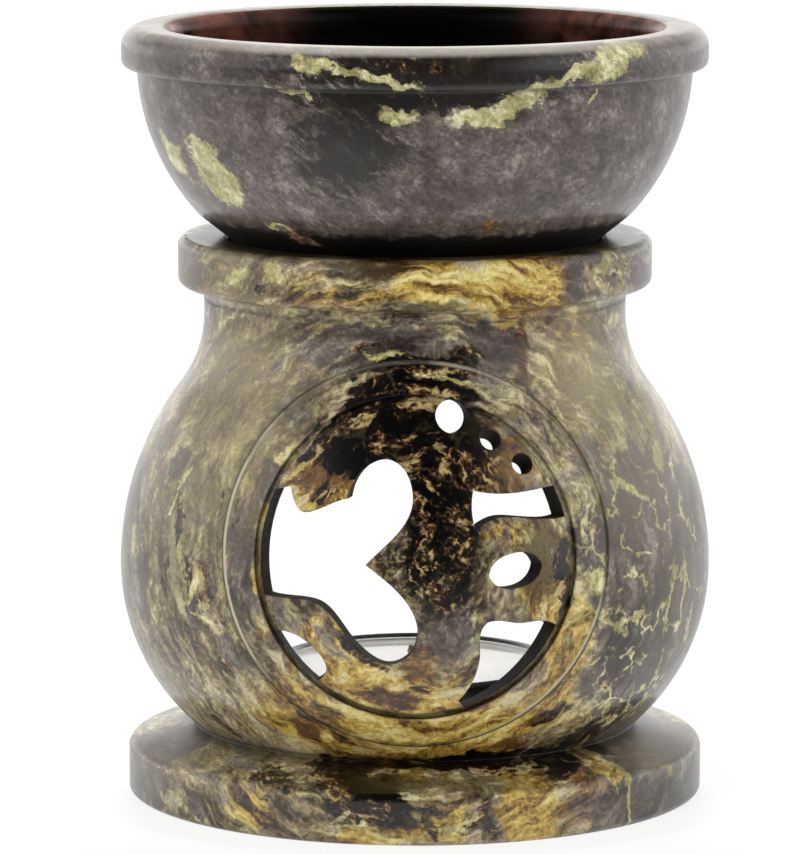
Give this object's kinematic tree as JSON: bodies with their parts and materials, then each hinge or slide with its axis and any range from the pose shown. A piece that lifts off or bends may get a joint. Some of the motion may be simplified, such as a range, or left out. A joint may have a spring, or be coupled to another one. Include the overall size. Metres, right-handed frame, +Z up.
{
  "type": "oil burner",
  "caption": "Turned soapstone oil burner: pierced round body on a disc foot, lift-off oil bowl on its collar, and a tealight that slides out through an arched mouth at the back.",
  "frame": {"origin": "centre of the underside of the base disc", "axes": "+Z up; the pierced front faces -Y and the arched mouth faces +Y"},
  "size_m": [0.08, 0.0795, 0.1042],
  "materials": {
    "body_stone": "polished soapstone, tan and olive with dark patches and pale veins",
    "bowl_stone": "polished soapstone, dark grey-brown with yellow-green patches",
    "cup_metal": "thin bright sheet",
    "wax": "smooth white wax",
    "sustainer_metal": "tinned sheet",
    "wick_cotton": "waxed braided cotton"
  },
  "bodies": {
    "burner": {"burner_body": "body_stone"},
    "bowl": {"oil_bowl": "bowl_stone"},
    "tealight": {"tealight_cup": "cup_metal", "tealight_wax": "wax", "wick_sustainer": "sustainer_metal", "wick": "wick_cotton"}
  },
  "joints": [
    {"name": "bowl_lift", "type": "slide", "parent": "burner", "child": "bowl", "axis": [0, 0, 1], "range_m": [0, 0.05]},
    {"name": "tealight_slide", "type": "slide", "parent": "burner", "child": "tealight", "axis": [0, 1, 0], "range_m": [0, 0.06]}
  ]
}
